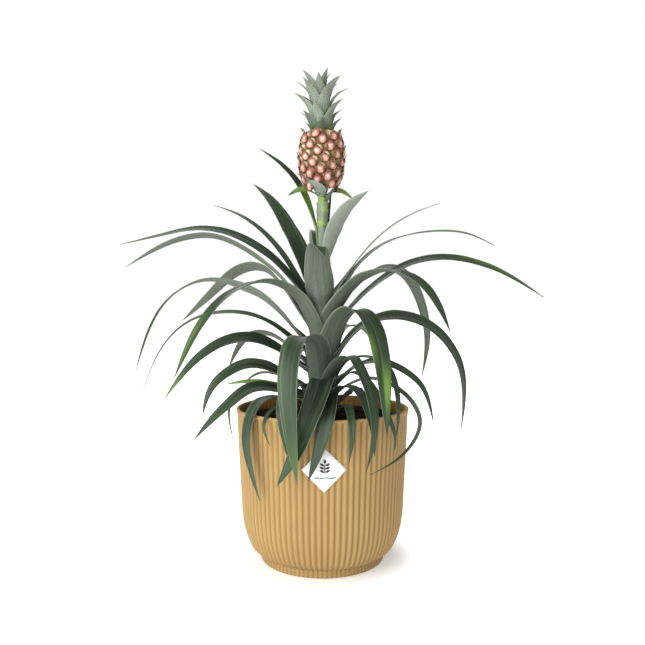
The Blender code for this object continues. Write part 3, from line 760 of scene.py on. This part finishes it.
# How single blades differ: tone from fresh to grey, lime stretches (from, to, side, strength) along the
# blade, foot (half width in mm where it clasps the stem), clasp (length of that base), loose (how far it
# stands off the stem), tucked (how much painted shade darkens it low down, deep in the rosette),
# pale_inside, gutter (depth) and ripple (margins)
LOOKS = {
    "leaf_left_top_slim": {"lime": [(0.0, 0.4, None, 0.75)], "tone": 0.1, "foot": 3.6},
    "leaf_left_top_broad": {"tone": 0.45, "foot": 8.0},
    "leaf_left_lime": {"lime": [(0.45, 1.0, None, 0.95)]},
    "leaf_left_curled": {"lime": [(0.0, 0.5, None, 0.35)]},
    "leaf_left_arched": {"lime": [(0.75, 1.0, -0.4, 0.3)], "tone": 0.05, "foot": 12.0},
    "leaf_left_middle": {"lime": [(0.9, 1.0, None, 0.5)], "tone": 0.1},
    "leaf_right_top": {
        "lime": [(0.0, 0.06, -0.6, 0.7)],
        "tone": 1.0,
        "foot": 8.5,
        "clasp": 40 * MM,
        "loose": 3.0 * MM,
        "tucked": 0.0,
        "pale_inside": True,
    },
    "leaf_right_sliver": {"foot": 2.4},
    "leaf_right_hair": {"tone": 0.9},
    "leaf_front_right": {
        "lime": [(0.61, 0.64, -0.9, 0.8), (0.78, 0.84, 0.4, 1.0)],
        "tone": 0.35,
        "foot": 13.0,
    },
    "leaf_front_left": {"lime": [(0.88, 1.0, None, 0.2), (0.4, 1.0, -1.1, 0.1)], "tone": 0.45, "foot": 11.5},
    "leaf_front_middle": {"tone": 0.0, "foot": 10.0},
    "leaf_right_broad": {"tone": 0.3, "foot": 11.5},
    "leaf_right_long": {"tone": 0.1, "lime": [(0.7, 0.95, 0.6, 0.3)]},
    "leaf_centre_sheath": {"tone": 0.45, "foot": 10.0, "clasp": 34 * MM, "pale_inside": True},
    "leaf_back_top": {"foot": 6.5, "tone": 0.9},
}
BRACT_LOOKS = {
    "bract_left": {"lime": [(0.0, 0.8, None, 0.6)]},
    "bract_hooked": {"tone": 0.8, "foot": 1.4},
    "bract_front": {"tone": 0.9, "foot": 2.0},
    "bract_small": {"tone": 0.0},
    "bract_right": {"lime": [(0.0, 1.0, None, 1.0)]},
}
BRACT_BASE = {"clasp": 1.5 * MM, "foot": 2.6}


def build_leaves(surface):
    for name, blade in LEAVES.items():
        build_blade(name, blade, surface, "leaf", LOOKS.get(name, {}))
    for name, blade in BRACTS.items():
        build_blade(name, blade, surface, "bract", BRACT_BASE | BRACT_LOOKS[name])
    build_blade("leaf_withered", WITHERED_LEAF, dry_surface(), "dry_leaf", {"gutter": 1.5, "ripple": 0.16})


# ---------------------------------------------------------------- pot


def crest_radius(height):
    """Radius over the crests of the ribs: a smooth curve through the outline's points."""
    heights, radii = map(np.array, zip(*POT_OUTLINE))
    slopes = np.gradient(radii, heights)
    k = int(np.clip(np.searchsorted(heights, height) - 1, 0, len(heights) - 2))
    span = heights[k + 1] - heights[k]
    t = np.clip((height - heights[k]) / span, 0.0, 1.0)
    low = (1 + 2 * t) * (1 - t) ** 2 * radii[k] + t * (1 - t) ** 2 * span * slopes[k]
    high = t * t * (3 - 2 * t) * radii[k + 1] + t * t * (t - 1) * span * slopes[k + 1]
    return float(low + high)


def pot_sections():
    """(radius, height, rib depth, inside) from the middle of the underside, out, up and back in."""
    sections = [(r * FOOT_RADIUS, 0.0, 0.0, 0) for r in (0.02, 0.4, 0.8, 0.955)]
    sections += [(FOOT_RADIUS + r * MM, z * MM, 0.12 * MM, 0) for r, z in FOOT_RING]
    for z in [*np.linspace(6.2, 40, 34), *np.linspace(43, 117, 20)]:
        sections.append((crest_radius(z * MM), z * MM, RIB_DEPTH, 0))
    rib_top, crest = POT_OUTLINE[-1]
    for step in np.linspace(0.15, 1.0, 7):
        z = rib_top + (LIP_BOTTOM - rib_top) * step
        sections.append((crest + LIP_FLARE * step, z, RIB_DEPTH * math.sqrt(1 - step**2), 0))
    inner = RIM_RADIUS - WALL
    middle = (RIM_RADIUS + inner) / 2
    for step in np.linspace(0.0, math.pi, 13):
        r = middle + (WALL / 2 - 0.1 * MM) * math.cos(step)
        z = POT_HEIGHT - LIP_ROUND + LIP_ROUND * math.sin(step)
        sections.append((r, z, 0.0, int(step > 2.4)))
    (low_radius, low), (top_radius, top) = INSIDE_LOW, INSIDE_TOP
    for z in [*np.linspace(top, 116, 8), *np.linspace(113, low, 20)]:
        depth = INNER_RIB_DEPTH * float(ease(120.5, 118.5, z))
        sections.append((np.interp(z, (low, top), (low_radius, top_radius)) * MM, z * MM, depth, 1))
    for r, z in (SHOULDER, INSIDE_FLOOR, (1.0, INSIDE_FLOOR[1])):
        sections.append((r * MM, z * MM, 0.0, 1))
    return sections


def build_pot():
    count = RIBS * RIB_POINTS
    angles = np.arange(count) * 2 * math.pi / count
    across = (np.arange(count) % RIB_POINTS) / (RIB_POINTS / 2) - 1  # -1 and 1 in the grooves, 0 on a crest
    hollow = (0.5 - 0.5 * np.cos(math.pi * across)) ** 1.4
    points, groove_shades, inside_shades = [], [], []
    sections = pot_sections()
    for radius, height, depth, inside in sections:
        r = radius - depth * hollow
        points.append(np.stack([r * np.cos(angles), r * np.sin(angles), np.full(count, height)], 1))
        # Where painted shade darkens the pot: deep in the rib grooves, and all over the inside.
        groove_shades.append(ease(0.25, 1.0, hollow) * (1 if depth else 0))
        inside_shades.append(np.full(count, float(inside)))
    facts = {"groove_shade": np.concatenate(groove_shades), "inside": np.concatenate(inside_shades)}
    faces = tube_faces(len(sections), count)
    made = mesh_object("ribbed_pot", np.concatenate(points), faces, pot_surface(), facts)
    settle(made, "butter_plastic", "decorative_pot")


def on_label(x, y, lift):
    """A point of the label, x to the right and y up from its middle, bent round the pot."""
    radius = 67.9 * MM + lift
    angle = LABEL_TURN + x / radius
    height = LABEL_HEIGHT + y
    radius = crest_radius(height) + 0.3 * MM + lift + 0.08 * MM * math.cos(RIBS * angle)
    return round_point(radius, angle, height)


def label_patch(outline, low, high, first):
    """Points and faces of a thin flat shape on the label: its outline, fanned from its middle."""
    outline = np.array(outline)
    middle = outline.mean(axis=0)
    rings = [middle + (outline - middle) * share for share in (0.05, 0.35, 0.7, 1.0)]
    points = [on_label(x, y, high) for ring in rings for x, y in ring]
    points += [on_label(x, y, low) for ring in rings[::-1] for x, y in ring]
    return points, tube_faces(2 * len(rings), len(outline), first)


def leaf_outline(x, y, turn, length, width):
    """A pointed oval from (x, y), turned by that many degrees from upright."""
    angle = math.radians(turn)
    points = []
    for share in [*np.linspace(0, 1, 9), *np.linspace(0.9, 0.1, 8)]:
        k = len(points)
        side = (1 if k < 9 else -1) * width / 2 * math.sin(math.pi * share) ** 0.8
        up = share * length
        right = x + side * math.cos(angle) + up * math.sin(angle)
        points.append((right, y + up * math.cos(angle) - side * math.sin(angle)))
    return points


def build_label():
    steps = 16
    half = LABEL_HALF
    corners = [(0, -half), (half, 0), (0, half), (-half, 0)]
    outline = []
    for (x0, y0), (x1, y1) in zip(corners, corners[1:] + corners[:1]):
        outline += [(x0 + (x1 - x0) * i / steps, y0 + (y1 - y0) * i / steps) for i in range(steps)]
    points, faces = label_patch(outline, 0.0, 0.35 * MM, 0)
    settle(mesh_object("diamond_label", points, faces, label_surface()), "label_paper", "pot_label")
    build_sprig()


def build_sprig():
    """The label's motif: an upright stalk with small paired ovals, over a short green underline."""
    shapes = [leaf_outline(0.5 * MM, -3.4 * MM, 0, 9.0 * MM, 0.9 * MM)]
    shapes.append(leaf_outline(0.5 * MM, 4.6 * MM, 0, 3.6 * MM, 1.9 * MM))
    for up in (-1.6 * MM, 0.8 * MM, 3.2 * MM):
        for side in (-1, 1):
            shapes.append(leaf_outline(0.5 * MM + side * 0.3 * MM, up, side * 62, 3.9 * MM, 1.7 * MM))
    line = [(x * MM, (-5.4 + 0.35 * math.sin(x * 0.9)) * MM) for x in np.linspace(-7.5, 8.5, 24)]
    line += [(x, y - 0.55 * MM) for x, y in line[::-1]]
    for name, group, dark, light in (
        ("label_sprig", shapes, (0.010, 0.012, 0.010), (0.022, 0.026, 0.022)),
        ("label_underline", [line], (0.02, 0.16, 0.05), (0.05, 0.24, 0.09)),
    ):
        points, faces = [], []
        for outline in group:
            more, joined = label_patch(outline, 0.3 * MM, 0.42 * MM, len(points))
            points += more
            faces += joined
        made = mesh_object(name, points, faces, ink_surface(name + "_ink", dark, light))
        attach(made, BODY)


# ---------------------------------------------------------------- soil


def build_soil():
    """A lumpy disc of soil with loose crumbs on it, inside the nursery pot."""
    draw = np.random.default_rng(7)
    low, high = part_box("root_ball_soil")
    radius = high[0]
    waves = []
    for _ in range(SOIL_WAVES):
        waves.append((draw.uniform(60, 420, 2), draw.uniform(0, 6.3), draw.uniform(0.1, 0.4)))
    angles = [2 * math.pi * j / SOIL_COUNT for j in range(SOIL_COUNT)]
    points = []
    for i in range(SOIL_RINGS):
        r = radius * (0.17 + 0.83 * i / (SOIL_RINGS - 1))
        for a in angles:
            x, y = r * math.cos(a), r * math.sin(a)
            bump = sum(size * math.sin(k[0] * x + k[1] * y + start) for k, start, size in waves)
            slope = 4 * MM * float(ease(0.9, 1.0, r / radius))
            points.append((x, y, SOIL_TOP - 1.2 * MM + 0.45 * MM * bump - slope))
    for r, z in ((radius, SOIL_TOP - 12 * MM), (43 * MM, low[2]), (1 * MM, low[2])):
        points += [round_point(r, a, z) for a in angles]
    faces = tube_faces(SOIL_RINGS + 3, SOIL_COUNT)
    tones = [0.0] * len(points)
    for _ in range(CRUMBS):
        r, a = radius * math.sqrt(draw.uniform(0.05, 0.93)), draw.uniform(0, 2 * math.pi)
        size = draw.choice(CRUMB_SIZES, p=CRUMB_ODDS) * MM
        crumb, joined = crumb_mesh(draw, round_point(r, a, SOIL_TOP - 1.0 * MM + size * 0.2), size)
        faces += [tuple(k + len(points) for k in face) for face in joined]
        points += crumb
        tones += [draw.uniform(0, 1) ** 2] * len(crumb)
    made = mesh_object("soil_surface", points, faces, soil_surface(), {"tone": tones})
    settle(made, "potting_soil", "root_ball_soil")


def crumb_mesh(draw, centre, size):
    """An uneven eight-sided crumb."""
    tips = np.array([(1, 0, 0), (0, 1, 0), (-1, 0, 0), (0, -1, 0), (0, 0, 1), (0, 0, -1)], float)
    tips *= draw.uniform(0.5, 1.1, (6, 1)) * size
    turn = draw.uniform(0, 3.1)
    spin = np.array([[math.cos(turn), -math.sin(turn), 0], [math.sin(turn), math.cos(turn), 0], [0, 0, 1]])
    tilt = np.array([[1, 0, 0], [0, math.cos(turn), -math.sin(turn)], [0, math.sin(turn), math.cos(turn)]])
    points = tips @ (spin @ tilt).T + np.array(centre)
    faces = [(i, (i + 1) % 4, 4) for i in range(4)] + [((i + 1) % 4, i, 5) for i in range(4)]
    return [tuple(p) for p in points], faces


# ---------------------------------------------------------------- stem, fruit and crown


def stalk_radius(height):
    """Radius of the stalk: its bare top is the thinnest, and a mealy sheath wraps it below that."""
    wrapped = float(ease(STALK_RIM + 0.5 * MM, STALK_RIM - 0.6 * MM, height))
    return stem_radius(height) - 0.3 * MM + STALK_WRAP * wrapped * float(ease(0.235, 0.262, height))


def build_stem():
    """The stalk, ridged along its length, lime at its nodes and where it is bare under the fruit."""
    low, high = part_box("stem")
    count = 40
    points, sides, shares, limes = [], [], [], []
    heights = np.linspace(low[2], high[2], 220)
    for z in heights:
        swell = sum(size * math.exp(-(((z - at) / (1.5 * MM)) ** 2)) for at, _, size in STALK_NODES)
        for j in range(count):
            a = 2 * math.pi * j / count
            r = stalk_radius(z) + swell + 0.10 * MM * math.sin(7 * a + 40 * z)
            points.append(round_point(r, a, z))
            sides.append(math.cos(a) + math.sin(3 * a) * 0.4)
            shares.append((z - low[2]) / (high[2] - low[2]))
            lime = float(ease(STALK_RIM - 0.6 * MM, STALK_RIM, z))
            for at, turn, _ in STALK_NODES:
                near = math.exp(-(((z - at - 1.5 * MM) / (3.0 * MM)) ** 2))
                lime = max(lime, near * float(ease(0.1, 0.7, math.cos(a - math.radians(turn)))))
            limes.append(lime)
    facts = {"across": sides, "along": shares, "lime": limes}
    made = mesh_object("flower_stalk", points, tube_faces(len(heights), count), stem_surface(), facts)
    settle(made, "stem", "stem")


def fruit_radius(share):
    """Radius of the fruit's body at a share of its height."""
    return FRUIT_RADIUS * (1 - np.abs(2 * share - 1.05) ** 2.8 * 0.32)


def fruit_eyes():
    """(angle, height share) of every eye, in the spiral that pineapples grow in."""
    return [(TURN * i, (i + 0.5) / EYES) for i in range(EYES)]


def build_fruit():
    """Fused eyes on a barrel, each domed, parted by seams, with a pointed bract over its lower half."""
    tall = FRUIT_TOP - FRUIT_BOTTOM - FRUIT_DIP
    around, up = 260, 150
    eyes = np.array(fruit_eyes())
    points, seams, lows, pales, rims = [], [], [], [], []
    for i in range(up):
        share = i / (up - 1)
        body = float(fruit_radius(share)) - 0.9 * MM
        close = math.sqrt(max(0.0, 1 - (max(0.0, abs(2 * share - 1) - 0.88) / 0.12) ** 2)) * 0.35 + 0.65
        for j in range(around):
            a = 2 * math.pi * j / around
            turns = (a - eyes[:, 0] + math.pi) % (2 * math.pi) - math.pi
            wide = turns * body / MM
            high = (share - eyes[:, 1]) * tall / MM
            far = np.hypot(wide, high * 1.05)
            first, second = np.argsort(far)[:2]
            inside = (far[second] - far[first]) / (far[second] + far[first] + 1e-9)
            seam = 1 - float(ease(0.03, 0.17, inside))
            dome = float(ease(0.0, 0.6, inside))
            r = (body + EYE_RISE * dome - SEAM_DEPTH * seam) * close
            points.append(round_point(r, a, FRUIT_BOTTOM + share * tall, FRUIT_X))
            seams.append(seam)
            rims.append(1 - float(ease(0.12, 0.42, inside)))
            lows.append(float(ease(1.2, -2.2, high[first])))
            pales.append(math.exp(-((wide[first] - 0.8) ** 2 + (high[first] - 2.0) ** 2) / 2.6))
    facts = {"seam": seams, "low": lows, "pale": pales, "rim": rims}
    facts |= {fact: [0.0] * len(points) for fact in ("bract", "edge", "shine")}
    faces = tube_faces(up, around)
    for k, (angle, share) in enumerate(eyes):
        more, joined, edges, shines = eye_bract(angle, share, k, len(points))
        points += more
        faces += joined
        for fact, value in (("seam", 0.0), ("low", 0.0), ("pale", 0.0), ("rim", 0.0), ("bract", 1.0)):
            facts[fact] += [value] * len(more)
        facts["edge"] += edges
        facts["shine"] += shines
    made = mesh_object("pineapple_fruit", points, faces, fruit_surface(), facts)
    settle(made, "fruit_skin", "fruit")


def eye_bract(angle, share, k, first):
    """A pointed scale rooted under the eye. It lies up over the eye, and its tip stands off."""
    tall = FRUIT_TOP - FRUIT_BOTTOM - FRUIT_DIP
    top = float(ease(0.80, 0.95, share))
    wobble = math.sin(k * 2.3)
    outward, side = level_ways(angle)
    length = (8.0 + 0.8 * wobble - 1.6 * top) * MM
    off = (1.3 + 0.9 * math.sin(k * 1.7) + 1.8 * top) * MM
    points, edges, shines = [], [], []
    wide = SCALE_STEPS
    for i in range(SCALE_STEPS):
        t = i / (SCALE_STEPS - 1)
        z = FRUIT_BOTTOM + share * tall - SCALE_ROOT + length * t
        body = float(fruit_radius(np.clip((z - FRUIT_BOTTOM) / tall, 0.02, 0.98)))
        r = body + 0.9 * MM + 0.7 * MM * math.sin(math.pi * min(1.0, 1.6 * t)) + off * t**2.4
        half = SCALE_HALF * (1 - t) ** 0.9 * (0.55 + 1.6 * t) + 0.08 * MM
        lean = 1.1 * MM * wobble * t
        for j in range(2 * wide):
            u = -1 + 2 * (j if j < wide else 2 * wide - 1 - j) / (wide - 1)
            thick = (0.16 if j < wide else -0.16) * MM
            jag = 0.3 * MM * math.sin(9 * t + 3 * u + k)
            bow = -0.6 * MM * u * u * (1 - 0.5 * t)
            point = outward * (r + thick + bow) + side * (half * u + lean + jag)
            points.append((FRUIT_X + point[0], point[1], z))
            edges.append(max(float(ease(0.32, 0.75, abs(u + 0.1 * wobble))), float(ease(0.46, 0.82, t))))
            gleam = math.exp(-(((u + 0.1) / 0.42) ** 2) - ((t - 0.40) / 0.22) ** 2)
            shines.append((0.7 + 0.3 * math.sin(k * 1.3)) * gleam)
    return points, tube_faces(SCALE_STEPS, 2 * wide, first), edges, shines


def build_crown():
    """The fruit's leafy crown: pointed leaflets in one spiral round a short tapering core."""
    base = FRUIT_TOP - CROWN_SINK
    points, faces = [], []
    facts = {"across": [], "along": [], "under": [], "tone": []}
    count = 24
    for r, z in CROWN_CORE:
        points += [round_point(r * MM, 2 * math.pi * j / count, base + z * MM, FRUIT_X) for j in range(count)]
    faces += tube_faces(len(CROWN_CORE), count)
    for fact, value in (("across", 0.0), ("along", 0.0), ("under", 0.0), ("tone", 0.6)):
        facts[fact] += [value] * len(points)
    for i in range(LEAFLETS):
        more, found = leaflet_mesh(TURN * i + CROWN_START, i / (LEAFLETS - 1), base)
        faces += tube_faces(LEAFLET_STATIONS, 2 * ACROSS, len(points))
        points += more
        for fact in facts:
            facts[fact] += list(found[fact])
    made = mesh_object("leafy_crown", points, faces, crown_surface(), facts)
    settle(made, "crown_leaf", "crown")


def leaflet_mesh(angle, share, base):
    """One leaflet: up along the core, then out to a fine tip. Low ones are short, dark and spreading."""
    outward = level_ways(angle)[0]
    wobble = math.sin(share * 97)
    places, *columns = zip(*CROWN_ROWS)
    root, core, reach, tip, width = (np.interp(share, places, np.array(sizes) * MM) for sizes in columns)
    reach = reach + 1.5 * MM * wobble
    tip = tip + 1.2 * MM * wobble
    shares = np.linspace(0, 1, LEAFLET_STATIONS)
    flare = np.interp(share, (0, 0.4, 1), (1.3, 2.4, 2.2))
    curve = []
    for t in shares:
        point = outward * (core + (reach - core) * t**flare)
        rise = root + (tip - root) * (1 - (1 - t) ** 1.15)
        curve.append((FRUIT_X + point[0] - CROWN_LEAN * rise, point[1], base + rise))
    frames = blade_frames(np.array(curve), shares, math.degrees(angle), 0.0, 8 * wobble)
    taper = np.interp(share, (0, 0.5, 1), (1.6, 2.2, 2.8))
    halves = [max(width / 2 * (1 - t**taper) ** 1.15, 0.1 * MM) for t in shares]
    arcs = np.interp(shares, (0, 0.4, 1), (1.0, 0.8, 0.3))
    points, facts = blade_mesh(curve, frames, shares, halves, arcs, LEAFLET_THICKNESS, 0.03, share * 30)
    dark = float(1 - ease(0.05, 0.34, share))
    facts["tone"] = np.full(len(points), dark * 0.9 + 0.05 * (wobble + 1))
    return points, facts


# ---------------------------------------------------------------- stage


def build_stage():
    corners = [(x * FLOOR_HALF, y * FLOOR_HALF, 0.0) for x, y in ((-1, -1), (1, -1), (1, 1), (-1, 1))]
    mesh = bpy.data.meshes.new("floor")
    mesh.from_pydata(corners, [], [(0, 1, 2, 3)])
    mesh.materials.append(floor_surface())
    floor = add_object("floor", mesh)
    floor.location.z = -0.02 * MM


def area_light(name, place, target, size, power):
    lamp = bpy.data.lights.new(name, "AREA")
    lamp.shape = "DISK"
    lamp.size = size
    lamp.energy = power
    made = add_object(name, lamp)
    made.location = place
    aim = np.array(target) - np.array(place)
    made.rotation_euler = (math.atan2(math.hypot(aim[0], aim[1]), -aim[2]), 0.0, math.atan2(-aim[0], aim[1]))


def build_lights():
    for name, place, size, power in LIGHTS:
        area_light(name, place, AIM, size, power)
    world = bpy.data.worlds.new("studio")
    world.use_nodes = True
    tree = world.node_tree
    shown, lit = tree.nodes["Background"], tree.nodes.new("ShaderNodeBackground")
    for sky, strength in ((shown, 1.0), (lit, ROOM_LIGHT)):
        sky.inputs["Color"].default_value = (1.0, 1.0, 1.0, 1.0)
        sky.inputs["Strength"].default_value = strength
    either = tree.nodes.new("ShaderNodeMixShader")
    seen = tree.nodes.new("ShaderNodeLightPath")
    tree.links.new(seen.outputs["Is Camera Ray"], either.inputs[0])
    tree.links.new(lit.outputs[0], either.inputs[1])
    tree.links.new(shown.outputs[0], either.inputs[2])
    tree.links.new(either.outputs[0], tree.nodes["World Output"].inputs["Surface"])
    bpy.context.scene.world = world
    bpy.context.scene.view_settings.view_transform = "Standard"


def build_camera():
    camera = bpy.data.cameras.new("camera")
    camera.sensor_width = 36.0
    camera.lens = LENS
    made = add_object("camera", camera)
    made.location = CAMERA_PLACE
    made.rotation_euler = (CAMERA_TILT, 0.0, 0.0)
    bpy.context.scene.camera = made


def main():
    build_camera()
    build_stage()
    build_lights()
    build_pot()
    build_label()
    build_soil()
    build_stem()
    build_leaves(leaf_surface())
    build_fruit()
    build_crown()
    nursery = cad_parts["nursery_pot"]
    for slot in nursery.material_slots:
        slot.material = nursery_surface()


main()
